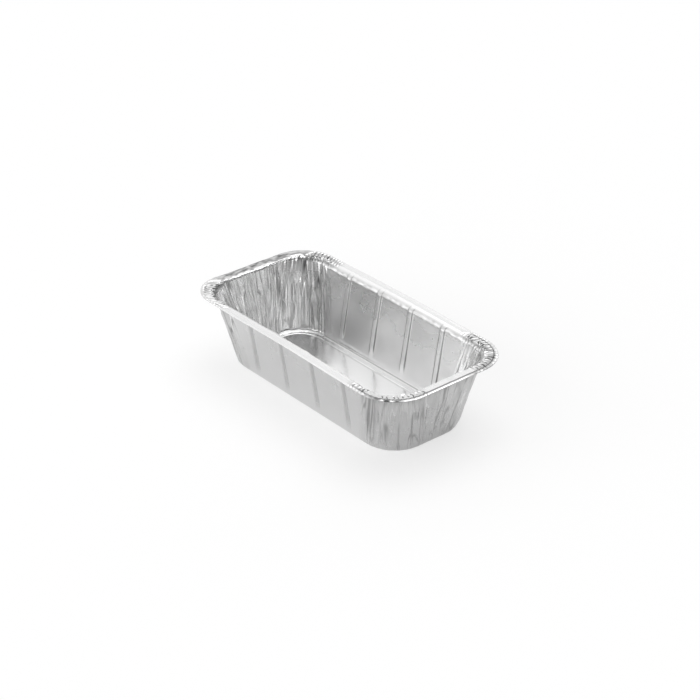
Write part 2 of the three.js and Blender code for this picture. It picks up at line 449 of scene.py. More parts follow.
@dataclass(frozen=True)
class PleatMarks:
    """Uneven pleats of the corners and end walls, with painted shade and highlights along their folds.

    Attributes:
        layers: Fields of the broad, middle and fine pleats.
        shares: Share of the depth that each layer has.
        depth: Depth of all layers at the rim.
        end_share: Share of that depth on the end walls.
        spill: How far the pleats run out onto the long walls.
        rise: Heights at which they start to grow and reach their full depth.
        foot: Share of their depth that they have near the foot.
        end: Length of the section from the end of the pleats to the level flange.
        fall: Lengths past that end over which they fade.
        faded: Share of their depth that is lost there.
        crest: Values of a layer between which its fold sharpens.
        patches: Field of the patches where folds get painted shade, or a painted highlight.
        painted_light: Painted shade in the broad and middle folds.
        painted_shade_patch: Values of the patches between which that shows.
        glint: Painted highlight along the fine folds outside.
        glint_patch: Values of the patches between which that shows, with their sign turned.
    """

    layers: tuple[Noise, ...] = (
        Noise(3, 10.0 * MM, 90.0 * MM),
        Noise(4, 4.2 * MM, 40.0 * MM),
        Noise(5, 2.3 * MM, 22.0 * MM),
    )
    shares: tuple[float, ...] = (0.4, 0.42, 0.22)
    depth: float = 2.0 * MM
    end_share: float = 0.9
    spill: float = 16.0 * MM
    rise: Span = (10.0 * MM, 60.0 * MM)
    foot: float = 0.55
    end: float = 2.4 * MM
    fall: Span = (0.0, 1.2 * MM)
    faded: float = 0.9
    crest: Span = (0.7, 1.0)
    patches: Noise = Noise(6, 8.0 * MM, 30.0 * MM)
    painted_light: float = 0.6
    painted_shade_patch: Span = (-0.35, 0.4)
    glint: float = 0.3
    glint_patch: Span = (-0.2, 0.4)


@dataclass(frozen=True)
class FoldMarks:
    """Long sharp folds among the pleats, each with a side of painted shade and a side of painted highlight.

    Attributes:
        field: Field whose zero lines the folds follow.
        height: Height of a fold, below 0 because it stands into the pan.
        crest: Half width of the fold, in values of the field.
        side_at: Value of the field in the middle of each side.
        side: Half width of each side.
        painted_light: Painted shade on the shaded side inside.
        glint: Painted highlight on the lit side.
        outside_painted_shade: Painted shade on the shaded side outside, all round and more at the left.
        left: Distances left of the pan's middle between which that sets in.
    """

    field: Noise = Noise(8, 8.0 * MM, 130.0 * MM)
    height: float = -0.5 * MM
    crest: float = 0.1
    side_at: float = 0.07
    side: float = 0.06
    painted_light: float = 0.4
    glint: float = 0.45
    outside_painted_shade: tuple[float, float] = (0.15, 0.6)
    left: Span = (80.0 * MM, 105.0 * MM)


@dataclass(frozen=True)
class CreaseMarks:
    """Crease along the line where the pleats end, with painted shade in it.

    Attributes:
        depth: Depth of the crease.
        half: Half width along the section.
        painted_light: Painted shade in the crease inside.
        uneven: Share of its depth round the pan.
    """

    depth: float = 0.15 * MM
    half: float = 0.6 * MM
    painted_light: float = 0.6
    uneven: Noise = Noise(11, 9.0 * MM, math.inf, middle=0.7, spread=0.5)


@dataclass(frozen=True)
class CrimpMarks:
    """Crimps across the flange of the corners, with painted shade on the flange, in the folds and on the bend
    below.

    Attributes:
        pitch: Distance from crimp to crimp.
        depth: Depth of a crimp.
        spill: How far the crimps run out onto the long sides and onto the ends.
        spill_full: Share of that way on which they are full.
        stray: How far they stray round the pan, in pitches.
        uneven: Share of their depth that they have.
        limits: Least and most share.
        rise: Where a crimp starts and is full, along the section from the flange.
        fall: Where it runs out, along the section from the bead.
        faded: Share of it that is lost there.
        back_end: Facing to the left between which the crimps of the back left corner end.
        front_end: The same for the front left corner.
        painted_light: Painted shade on the crimped flange.
        fold_painted_shade: Painted shade in the folds.
        crest: Values of the wave between which a fold takes its painted shade.
        corner: Facing out of a corner between which what follows sets in.
        near_less_shade: How much less painted shade the flange of the front right corner has.
        near_sharp: Shares of depth between which its folds show.
        near_flat: How much flatter its crimps are.
        left_less_shade: How much less painted shade the flange of the front left corner has.
        bend: Where the bend below the crimps has painted shade, from the flange.
        bend_painted_shade: That painted shade, and how far the crimps change it.
    """

    pitch: float = 4.0 * MM
    depth: float = 1.5 * MM
    spill: tuple[float, float] = (26.0 * MM, 10.0 * MM)
    spill_full: float = 0.4
    stray: Noise = Noise(9, 12.0 * MM, 6.0 * MM, spread=0.5)
    uneven: Noise = Noise(10, 4.0 * MM, 5.0 * MM, middle=0.75, spread=0.7)
    limits: Span = (0.15, 1.2)
    rise: Span = (-6.0 * MM, -1.0 * MM)
    fall: Span = (-0.5 * MM, 1.5 * MM)
    faded: float = 0.7
    back_end: Span = (0.6, 0.85)
    front_end: Span = (0.93, 1.0)
    painted_light: float = 0.5
    fold_painted_shade: float = 1.2
    crest: Span = (0.0, 0.7)
    corner: Span = (0.6, 0.85)
    near_less_shade: float = 0.7
    near_sharp: Span = (0.8, 1.1)
    near_flat: float = 0.4
    left_less_shade: float = 0.15
    bend: Window = Window((-10.0 * MM, -7.0 * MM), (-5.0 * MM, -2.0 * MM))
    bend_painted_shade: tuple[float, float] = (0.62, 0.15)


@dataclass(frozen=True)
class BeadMarks:
    """Bead that the flattened roll makes along the edge with its painted shade, and the painted shade of the
    bend below the flange of the long sides.

    Attributes:
        width: Width of the bead at the right and at the left end.
        height: How far the flange stands up on the roll.
        rise: Where it stands up, along the section from the bead.
        left: Distances left of the middle between which the bead widens.
        across: Places across the pan where it is wide.
        bead_shade_patches: Field of patches where the painted shade of the bead, its face and the bend is
            darker.
        left_band_rise: Where the band of painted shade at the left end starts, from the bead.
        left_band_shade: Darkness of that painted shade.
        line: Painted dark line beside the bead, along the section from it.
        line_right: Places along the pan between which that line starts.
        under_rise: Where the turned-under side starts, along the section from the outside of the rim.
        under_painted_shade: Painted shade on it.
        face_rise: Where the outer face of the roll starts.
        pressed: Place, size and darkness of spots of painted shade on this face.
        bend: Where the bend of the long sides has painted shade, along the section from the flange.
        bend_painted_shade: That painted shade, and how far the patches add to it.
    """

    width: tuple[float, float] = (3.5 * MM, 11.3 * MM)
    height: float = 0.6 * MM
    rise: Span = (-0.2 * MM, 1.6 * MM)
    left: Span = (20.0 * MM, 110.0 * MM)
    across: Window = Window((-52.0 * MM, -38.0 * MM), (62.0 * MM, 70.0 * MM))
    bead_shade_patches: Noise = Noise(13, 4.0 * MM, 2.0 * MM, middle=0.75, spread=0.55)
    left_band_rise: Span = (-0.6 * MM, 0.2 * MM)
    left_band_shade: float = 0.82
    line: Line = Line(-0.7 * MM, 0.9 * MM, 1.15)
    line_right: Span = (-20.0 * MM, 60.0 * MM)
    under_rise: Span = (-0.2 * MM, 0.6 * MM)
    under_painted_shade: float = 0.6
    face_rise: Span = (-3.0 * MM, -2.0 * MM)
    pressed: tuple[tuple[float, float, float, float], ...] = (
        (142.0 * MM, -74.0 * MM, 22.0 * MM, 1.3),
        (158.0 * MM, 34.0 * MM, 18.0 * MM, 0.8),
    )
    bend: Window = Window((-11.0 * MM, -9.0 * MM), (-7.5 * MM, -3.0 * MM))
    bend_painted_shade: tuple[float, float] = (0.18, 0.36)


@dataclass(frozen=True)
class RimMarks:
    """Crown and sag of the rim.

    Attributes:
        crown: How far the long rims rise to their middle.
        sag: How far the left end hangs.
        left: Distances from the left end at which it starts to hang and hangs fully.
        front: Places across the pan between which it hangs more.
        back: Places between which it hangs less again.
        back_held: Share of the sag that is lost there.
    """

    crown: float = 1.4 * MM
    sag: float = 2.4 * MM
    left: Span = (45.0 * MM, 8.0 * MM)
    front: Span = (-75.0 * MM, -25.0 * MM)
    back: Span = (30.0 * MM, 78.0 * MM)
    back_held: float = 0.6


@dataclass(frozen=True)
class ShadeMarks:
    """Painted shade and highlights that change slowly. Spans are heights as shares of the whole height.

    Attributes:
        outside: Painted shade that the walls gain outside, darker towards the top.
        outside_from: Height at which that starts, in metres.
        gathered: Painted shade where the foil is gathered, outside, inside, and added outside under the rim.
        rim_rise: Where that is added.
        wall_top: Height above which the foil inside isn't a wall.
        glint: Painted highlight on the long walls inside.
        glint_at: Where it is painted.
        head: Painted shade in the back left corner inside, below the rim.
        head_at: Where it is painted.
        head_corner: Facing out of the corner between which it sets in.
        foot: Painted dark line in the bend at the foot, along the section.
        least: The brightest that the painted highlights make the foil.
        most: The darkest that the painted shade makes it outside and inside.
    """

    outside: float = 0.2
    outside_from: float = 5.0 * MM
    gathered: tuple[float, float, float] = (0.12, 0.05, 0.3)
    rim_rise: Span = (0.75, 1.0)
    wall_top: float = 0.95
    glint: float = 0.14
    glint_at: Window = Window((0.3, 0.75), (0.85, 0.95))
    head: float = 0.4
    head_at: Window = Window((0.7, 0.9), (0.95, 0.99))
    head_corner: Span = (0.75, 0.97)
    foot: Line = Line(2.4 * MM, 0.7 * MM, 0.65)
    least: float = -0.4
    most: tuple[float, float] = (0.65, 1.15)


@dataclass(frozen=True)
class WallMarks:
    """All that is pressed into the sheet, in metres, and the light and shade painted into its grey.

    A painted shade of 1 takes most of the shine and one below 0 is a painted highlight.

    Attributes:
        ribs: Ribs of the long walls.
        pleats: Pleats of the corners and end walls.
        folds: Long folds among them.
        crease: Crease where they end.
        crimps: Crimps of the flange.
        bead: Bead along the edge.
        rim: Crown and sag.
        shade: Painted shade and highlights that change slowly.
        dents: Soft and small dents of the walls.
        dent_rise: Where they grow, along the section from the foot.
        dent_fall: Where they end, along the section from the flange.
    """

    ribs: RibMarks = RibMarks()
    pleats: PleatMarks = PleatMarks()
    folds: FoldMarks = FoldMarks()
    crease: CreaseMarks = CreaseMarks()
    crimps: CrimpMarks = CrimpMarks()
    bead: BeadMarks = BeadMarks()
    rim: RimMarks = RimMarks()
    shade: ShadeMarks = ShadeMarks()
    dents: tuple[Noise, ...] = (
        Noise(21, 38.0 * MM, 38.0 * MM, spread=0.2 * MM),
        Noise(22, 14.0 * MM, 14.0 * MM, spread=0.12 * MM),
    )
    dent_rise: Span = (0.0, 20.0 * MM)
    dent_fall: Span = (-8.0 * MM, 0.0)


class FoilSheet:
    """The walls, flange and rolled edge of the pan as one surface round the pan and up its section."""

    def __init__(self, sizes: PanSizes, marks: WallMarks) -> None:
        """Works out the plain surface and the marks on it.

        Args:
            sizes: Sizes of the pan.
            marks: All that is pressed into the sheet, and the light and shade painted on it.
        """
        self.sizes, self.marks = sizes, marks
        self.columns = Columns.all_round()
        self.on_long = self.columns.long_side & ~self.columns.corner
        self.long = Section.of(sizes, sizes.long_draft, sizes.top_bend)
        self.end = Section.of(sizes, sizes.end_draft, sizes.end_bend)
        self.rows = Section.rows()
        self.mouth_row, self.edge_row = self.rows[Zone.FLANGE]
        self.plain = self._plain()
        self.facing = self._facing(self.plain)
        self.turn, self.round_length = self._turn()
        self.length_up = self._length_up()
        self.from_mouth = self.length_up - self.length_up[self.mouth_row]
        self.from_edge = self.length_up - self.length_up[self.edge_row] - sizes.curl_width / 2
        self.leftward = self._leftward()
        narrow, wide = marks.bead.width
        self.from_bead = self.from_edge + narrow + (wide - narrow) * self.leftward
        self.gathered = self._gathered()
        # Painted shade for the outside and inside skins, below 0 where a highlight is painted.
        self.painted_light = np.zeros((2, *self.plain.shape[:2]))
        self.outer = self._marked()
        self.outer_facing = self._facing(self.outer)
        self.inner = self.outer - sizes.foil * self.outer_facing

    def _outline(self) -> tuple[np.ndarray, np.ndarray, np.ndarray]:
        """Half length, half width and corner radius of the rounded rectangle at each station."""
        sizes = self.sizes
        half_length, half_width = sizes.foot_half
        share = np.clip(self.long.up / sizes.sheet_top, 0.0, 1.0)
        share[self.mouth_row:] = 1.0
        runs = sizes.run(sizes.long_draft) + sizes.run(sizes.end_draft)
        beyond = (self.long.out + self.end.out - share * runs) / 2
        growth = (sizes.rim_corner - sizes.mouth_corner) / sizes.flange
        radius = sizes.foot_corner * (1.0 - share) + sizes.mouth_corner * share + beyond * growth
        return half_length + self.end.out, half_width + self.long.out, radius

    def _plain(self) -> np.ndarray:
        """Side line plus corner arc: along * s + outward * reach + out * radius, at the section's height."""
        c = self.columns
        half_length, half_width, radius = (part[:, None] for part in self._outline())
        half = np.where(c.long_side, half_length, half_width) - radius
        reach = np.where(c.long_side, half_width, half_length) - radius
        place = (2.0 * c.share - 1.0) * half
        self.side_left = half - np.abs(place)
        level = c.along * place[..., None] + c.outward * reach[..., None] + c.out * radius[..., None]
        own = np.where(c.long_side, self.long.up[:, None], self.end.up[:, None])
        following = np.where(c.long_side, self.end.up[:, None], self.long.up[:, None])
        turned = c.angle / (math.pi / 2)
        return np.dstack([level, own * (1.0 - turned) + following * turned])

    @staticmethod
    def _facing(points: np.ndarray) -> np.ndarray:
        """Unit direction out of the pan: change round the pan crossed with change up the section."""
        round_pan = np.roll(points, -1, axis=1) - np.roll(points, 1, axis=1)
        up_section = np.gradient(points, axis=0)
        facing = np.cross(round_pan, up_section)
        return facing / np.linalg.norm(facing, axis=-1, keepdims=True)

    def _length_up(self) -> np.ndarray:
        """Length along each line's section from the foot to each station."""
        steps = np.linalg.norm(np.diff(self.plain, axis=0), axis=-1)
        return np.concatenate([np.zeros((1, steps.shape[1])), np.cumsum(steps, axis=0)])

    def _turn(self) -> tuple[np.ndarray, float]:
        """Share of the way round the mouth of the pan at each line, from 0 to 1, and the whole way."""
        mouth = self.plain[self.mouth_row]
        steps = np.linalg.norm(np.roll(mouth, -1, axis=0) - mouth, axis=-1)
        whole = float(steps.sum())
        return np.concatenate([[0.0], np.cumsum(steps)[:-1]]) / whole, whole

    def _field(self, noise: Noise, places: np.ndarray | None = None) -> np.ndarray:
        """Random field on the sheet.

        Args:
            noise: Its seed, the sizes of its cells and the range of its values.
            places: Places round the pan in cells, or None for the places of the lines.

        Returns:
            Its values at each point.
        """
        cells = int(self.round_length / noise.pitch)
        across = self.turn * cells if places is None else places
        values = RandomField(noise.seed, cells).at(across, self.length_up / noise.length)
        return noise.middle + noise.spread * values

    def _corner(self, right: int, back: int, span: Span) -> np.ndarray:
        """Ease to the lines that face out of one corner.

        Args:
            right: 1 for a right corner, -1 for a left one.
            back: 1 for a back corner, -1 for a front one.
            span: Facing at which the ease starts and ends, 1 straight out of the corner.

        Returns:
            Values from 0 to 1 at each line.
        """
        out = self.columns.out
        return smooth(*span, (right * out[:, 0] + back * out[:, 1]) / math.sqrt(2.0))

    def _leftward(self) -> np.ndarray:
        """Ease from 0 on the right half of the rim to 1 at its left end, and out round the left corners."""
        bead = self.marks.bead
        x, y, _ = np.moveaxis(self.plain[self.mouth_row], -1, 0)
        return smooth(*bead.left, -x) * bead.across.over(y)

    def _gathered(self) -> np.ndarray:
        """How far foil is gathered: fully in corners, less on end walls, running out on long walls."""
        c, pleats = self.columns, self.marks.pleats
        near = 1.0 - smooth(0.0, pleats.spill, self.side_left)
        end = pleats.end_share + (1.0 - pleats.end_share) * near
        return np.where(c.corner, 1.0, np.where(c.long_side, near, end))

    def _add_painted_shade(self, side: int, painted_light: np.ndarray) -> None:
        """Keeps the darkest painted shade of what was found so far on one side of the sheet and these values
        above 0.
        """
        found = self.painted_light[side]
        self.painted_light[side] = np.where(painted_light > 0.0, np.maximum(found, painted_light), found)

    def _rise(self) -> np.ndarray:
        """Ease from the smooth foot to the share near it, and on to the height where pleats are full."""
        pleats = self.marks.pleats
        start, full = pleats.rise
        foot = pleats.foot * smooth(0.0, start, self.length_up)
        return foot + (1.0 - pleats.foot) * smooth(start, full, self.length_up)

    def _pleats(self) -> np.ndarray:
        """Broad and fine fields stretched up the wall, each creased where it crosses zero, by 1 - 2|n|."""
        pleats = self.marks.pleats
        layers = [1.0 - 2.0 * np.abs(self._field(noise)) for noise in pleats.layers]
        depth = sum(share * layer for share, layer in zip(pleats.shares, layers))
        broad, middle, fine = (smooth(*pleats.crest, layer) for layer in layers)
        patches = self._field(pleats.patches)
        fade = 1.0 - pleats.faded * smooth(*pleats.fall, self.from_mouth + pleats.end)
        grown = self.gathered * self._rise() * fade
        # Painted shade in the broad and middle folds, and a painted highlight along the fine folds outside.
        fold = np.maximum(broad, middle) * smooth(*pleats.painted_shade_patch, patches) * grown
        for side in (OUTSIDE, INSIDE):
            self._add_painted_shade(side, pleats.painted_light * fold)
        self.painted_light[OUTSIDE] -= pleats.glint * fine * smooth(*pleats.glint_patch, -patches) * grown
        return (pleats.depth * depth + self._long_folds(grown)) * grown

    def _long_folds(self, grown: np.ndarray) -> np.ndarray:
        """Sharp folds where a field that hardly changes up the wall crosses zero, painted shade on one side
        and a painted highlight on the other.

        Args:
            grown: How far the pleats are grown at each point.

        Returns:
            Height of the folds at full growth.
        """
        folds = self.marks.folds
        field = self._field(folds.field)
        # Painted shade on one side of each fold and a painted highlight on the other.
        shaded = bell(field - folds.side_at, folds.side)
        lit = folds.glint * bell(field + folds.side_at, folds.side)
        self.painted_light[INSIDE] += (folds.painted_light * shaded - lit) * grown
        round_dull, left_dull = folds.outside_painted_shade
        left = smooth(*folds.left, -self.plain[..., 0]) * np.sqrt(grown)
        self.painted_light[OUTSIDE] += round_dull * shaded * grown + (left_dull * shaded - lit) * left
        return folds.height * bell(field, folds.crest)

    def _crease(self) -> np.ndarray:
        """Groove where the pleats end, a bell along the section, deeper in some places than in others, with
        painted shade in it inside.
        """
        crease = self.marks.crease
        groove = bell(self.from_mouth + self.marks.pleats.end, crease.half)
        groove = groove * self._field(crease.uneven) * self.gathered
        # Painted shade in the crease, inside.
        self._add_painted_shade(INSIDE, crease.painted_light * groove)
        return crease.depth * groove

    def _crimps(self) -> np.ndarray:
        """Folds across the flange in and beside the corners, a triangle wave round the pan.

        They are fewer in the front right corner and end before the left end. The flange, its folds and the
        bend below them get painted shade.

        Returns:
            Height of the crimps at each point.
        """
        crimps, c = self.marks.crimps, self.columns
        phase = self.turn * int(self.round_length / crimps.pitch) + self._field(crimps.stray)
        wave = np.abs(2.0 * (phase - np.floor(phase)) - 1.0) * 2.0 - 1.0
        uneven = np.clip(self._field(crimps.uneven, phase), *crimps.limits)
        spill = np.where(c.long_side, *crimps.spill)
        beside = 1.0 - smooth(crimps.spill_full * spill, spill, self.side_left[self.mouth_row])
        back = c.out[:, 1] > 0.0
        start, end = (np.where(back, *ends) for ends in zip(crimps.back_end, crimps.front_end))
        run_out = 1.0 - crimps.faded * smooth(*crimps.fall, self.from_bead)
        folded = np.where(c.corner, 1.0, beside) * (1.0 - smooth(start, end, -c.out[:, 0])) * run_out
        near, left = self._corner(1, -1, crimps.corner), self._corner(-1, -1, crimps.corner)
        # Painted shade on the crimped flange, less in the front corners and darker in the folds, and on the
        # bend below.
        even = crimps.painted_light * (1.0 - crimps.near_less_shade * near - crimps.left_less_shade * left)
        sharp = uneven * (1.0 - near * (1.0 - smooth(*crimps.near_sharp, uneven)))
        painted_light = even + (crimps.fold_painted_shade - crimps.painted_light) * smooth(*crimps.crest, wave) * sharp
        across = smooth(*crimps.rise, self.from_mouth)
        bend_painted_shade, bend_change = crimps.bend_painted_shade
        bend = crimps.bend.over(self.from_mouth) * (bend_painted_shade + bend_change * wave * uneven)
        self._add_painted_shade(INSIDE, np.maximum(painted_light * across, bend) * folded)
        return crimps.depth / 2 * wave * uneven * folded * across * (1.0 - crimps.near_flat * near)

    def _dents(self) -> np.ndarray:
        """Hollows of thin foil on several scales, nil at the foot and on the rim."""
        marks = self.marks
        rise = smooth(*marks.dent_rise, self.length_up) * (1.0 - smooth(*marks.dent_fall, self.from_mouth))
        return sum(self._field(noise) for noise in marks.dents) * rise

    def _ribs(self) -> np.ndarray:
        """Flat-crested ribs at equal pitch along the long walls, run out at the foot and on the flange."""
        ribs, sizes = self.marks.ribs, self.sizes
        pitch = 2.0 * (sizes.foot_half[0] - sizes.foot_corner) / ribs.count
        middles = (np.arange(ribs.count) - (ribs.count - 1) / 2) * pitch
        off = np.abs(self.plain[..., 0, None] - middles).min(axis=-1)
        crest = np.where(self.on_long, 1.0 - smooth(ribs.core, ribs.half, off), 0.0)
        flank = 4.0 * crest * (1.0 - crest)
        run_out = 1.0 - smooth(*ribs.fall, self.from_mouth / sizes.top_bend)
        shape = smooth(*ribs.rise, self.plain[..., 2]) * run_out
        # Painted shade on the crest outside and on the flanks inside, for the shadow beside each rib.
        self._add_painted_shade(OUTSIDE, ribs.crest_painted_shade * crest * shape)
        self._add_painted_shade(INSIDE, ribs.flank_painted_shade * flank * shape)
        return ribs.depth * crest * shape

    def _bead(self) -> np.ndarray:
        """Rise of the flange onto the roll.

        The bead has a band of painted shade at the left end and a painted dark line beside it at the right.
        Spots of painted shade lie on the face of the roll, and painted shade on its turned-under side and on
        the bend below the long flanges.

        Returns:
            Rise at each point of the sheet.
        """
        bead = self.marks.bead
        bead_shade_patches = self._field(bead.bead_shade_patches)
        beside = 1.0 - smooth(0.0, self.marks.crimps.spill[0], self.side_left[self.mouth_row])
        ends = np.where(self.on_long, beside, 1.0)
        bend_painted_shade, bend_change = bead.bend_painted_shade
        bend = bead.bend.over(self.from_mouth) * (1.0 - ends)
        x, y, _ = np.moveaxis(self.plain[self.edge_row], -1, 0)
        line = bead.line.over(self.from_bead) * smooth(*bead.line_right, x)
        pressed = sum(
            painted_light * bell(np.hypot(x - place_x, y - place_y), size)
            for place_x, place_y, size, painted_light in bead.pressed
        )
        # Painted shade on the bend of the long sides, in a band at the left end, in a dark line beside the
        # bead, under the roll and in spots on its face.
        for painted_light in (
            (bend_painted_shade + bend_change * bead_shade_patches) * bend,
            bead.left_band_shade * bead_shade_patches * smooth(*bead.left_band_rise, self.from_bead) * ends * self.leftward,
            line * ends * (1.0 - self.leftward),
            bead.under_painted_shade * smooth(*bead.under_rise, self.from_edge),
            pressed * bead_shade_patches * smooth(*bead.face_rise, self.from_edge),
        ):
            self._add_painted_shade(INSIDE, painted_light)
        return bead.height * smooth(*bead.rise, self.from_bead)

    def _lift(self) -> np.ndarray:
        """Crown of the long rims by sin^2 along them, less the sag of the left end, both growing upwards."""
        rim, sizes = self.marks.rim, self.sizes
        crown = np.where(self.on_long, np.sin(math.pi * self.columns.share) ** 2, 0.0)
        x, y, z = np.moveaxis(self.plain, -1, 0)
        sag = smooth(*rim.left, x + sizes.rim_length / 2) * smooth(*rim.front, y)
        sag = sag * (1.0 - rim.back_held * smooth(*rim.back, y))
        return (rim.crown * crown - rim.sag * sag) * np.clip(z / sizes.sheet_top, 0.0, 1.0) ** 2

    def _shade(self) -> None:
        """Painted shade and highlights that change slowly up the walls, and a painted dark line in the bend
        at their foot.
        """
        shade, z, top = self.marks.shade, self.plain[..., 2], self.sizes.sheet_top
        share = z / top
        outside, inside, rim = shade.gathered
        # Painted shade outside, darker towards the top and where the foil is gathered, more under the rim.
        self.painted_light[OUTSIDE] += shade.outside * smooth(shade.outside_from, top, z)
        self.painted_light[OUTSIDE] += (outside + rim * smooth(*shade.rim_rise, share)) * self.gathered
        # Painted shade inside where the foil is gathered, a painted highlight on the upper long walls, and
        # painted shade in the back left corner below the rim.
        glint = shade.glint_at.over(share) * self.on_long
        self.painted_light[INSIDE] += inside * self.gathered * (share < shade.wall_top) - shade.glint * glint
        head = shade.head_at.over(share) * self._corner(-1, 1, shade.head_corner)
        self.painted_light[INSIDE] += shade.head * head
        # Painted dark line in the bend at the foot.
        self._add_painted_shade(INSIDE, shade.foot.over(self.length_up))
        self.painted_light = np.clip(self.painted_light, shade.least, np.array(shade.most)[:, None, None])

    def _marked(self) -> np.ndarray:
        """Plain surface moved square to itself by pleats, crimps and dents, level by ribs, up at the rim."""
        square = self._pleats() + self._crease() + self._crimps() + self._dents()
        inward = np.concatenate([-self.columns.out, np.zeros((self.columns.angle.size, 1))], axis=1)
        moved = self.plain + square[..., None] * self.facing + self._ribs()[..., None] * inward
        moved[..., 2] += self._bead() + self._lift()
        self._shade()
        return moved

    def zone(self, band: int, zone: Zone) -> tuple[slice, np.ndarray]:
        """Rows and columns of one zone of the sheet.

        Args:
            band: Number of the side or corner.
            zone: Wall, flange or curl.

        Returns:
            Slice of rows, and column numbers with the first of the next band.
        """
        first, last = self.rows[zone]
        start = sum(earlier.facets for earlier in BANDS[:band])
        picked = np.arange(start, start + BANDS[band].facets + 1) % self.columns.angle.size
        return slice(first, last + 1), picked


class FloorPanel:
    """Floor of the pan: a raised panel, the step round it and the stand ring, as a height field."""

    FACETS = (230, 120)
    # Dents of the panel, and the cells after which their fields repeat.
    DENTS = (
        Noise(31, 34.0 * MM, 34.0 * MM, spread=0.22 * MM),
        Noise(32, 11.0 * MM, 11.0 * MM, spread=0.08 * MM),
        Noise(33, 4.5 * MM, 4.5 * MM, spread=0.02 * MM),
    )
    DENT_CELLS = 256
    # How many widths of the step further in the dents are full.
    DENT_RUN = 5
    # Groove in the panel beside the step, in from the step.
    GROOVE = Line(1.6 * MM, 0.8 * MM, 0.3 * MM)
    # Lines of painted shade and one painted highlight beside the step, in from the edge.
    LINES = (
        Line(1.2 * MM, 0.7 * MM, 0.12),
        Line(6.0 * MM, 0.8 * MM, -0.2),
        Line(8.1 * MM, 1.0 * MM, 0.3),
    )

    def __init__(self, sizes: PanSizes) -> None:
        """Works out both skins.

        Args:
            sizes: Sizes of the pan.
        """
        self.sizes = sizes
        self.outer = self._surface()
        self.outer_facing = -self._up(self.outer)
        self.inner = self.outer - sizes.foil * self.outer_facing
        # Painted shade and a painted highlight along the step, on the inside skin only.
        self.painted_light = np.zeros((2, *self.outer.shape[:2]))
        self.painted_light[INSIDE] = sum(line.over(self.inside) for line in self.LINES)

    def _outline(self) -> tuple[float, float, float]:
        """Half length, half width and corner radius of the edge where the walls start to bend up."""
        sizes = self.sizes
        bends = [
            sizes.bottom_bend * math.tan(math.pi / 4 - math.radians(draft) / 2)
            for draft in (sizes.end_draft, sizes.long_draft)
        ]
        half_length, half_width = sizes.foot_half
        return half_length - bends[0], half_width - bends[1], sizes.foot_corner - sum(bends) / 2

    def _surface(self) -> np.ndarray:
        """Points (x = u * reach(y), y) at the height of the step for their distance from the edge.

        u and the share across are eased by sin so that points gather at the edge.

        Returns:
            Grid of points, rows from back to front so that columns cross rows facing down.
        """
        half_length, half_width, radius = self._outline()
        u = np.sin(np.linspace(-math.pi / 2, math.pi / 2, self.FACETS[0] + 1))
        y = half_width * np.sin(np.linspace(math.pi / 2, -math.pi / 2, self.FACETS[1] + 1))[:, None]
        past = np.clip(np.abs(y) - (half_width - radius), 0.0, radius)
        reach = half_length - radius + np.sqrt(np.maximum(radius**2 - past**2, 0.0))
        x = u[None, :] * reach
        y = np.broadcast_to(y, x.shape)
        corner_x = np.maximum(np.abs(x) - (half_length - radius), 0.0)
        corner_y = np.maximum(np.abs(y) - (half_width - radius), 0.0)
        inside = np.minimum(half_length - np.abs(x), half_width - np.abs(y))
        inside = np.where(corner_x * corner_y > 0.0, radius - np.hypot(corner_x, corner_y), inside)
        self.inside = inside
        return np.dstack([x, y, self._height(x, y, inside)])

    def _height(self, x: np.ndarray, y: np.ndarray, inside: np.ndarray) -> np.ndarray:
        """Eased step up from the ring to the panel, a shallow groove beside it, and soft dents on the panel.

        Args:
            x: Places along the pan.
            y: Places across the pan.
            inside: Distances in from the edge.

        Returns:
            Heights above the table.
        """
        sizes = self.sizes
        cells, step_end = self.DENT_CELLS, sizes.ring + sizes.step_run
        panel = smooth(sizes.ring, step_end, inside)
        flat = smooth(step_end, step_end + self.DENT_RUN * sizes.step_run, inside)
        dents = 0.0
        for noise in self.DENTS:
            field = RandomField(noise.seed, cells, cells)
            dents += noise.spread * field.at(x / noise.pitch + cells / 2, y / noise.length + cells / 2)
        return sizes.step * panel - self.GROOVE.over(inside - step_end) + dents * flat

    @staticmethod
    def _up(points: np.ndarray) -> np.ndarray:
        """Unit direction up from the surface: change along the pan crossed with change across it."""
        facing = np.cross(np.gradient(points, axis=1), -np.gradient(points, axis=0))
        return facing / np.linalg.norm(facing, axis=-1, keepdims=True)


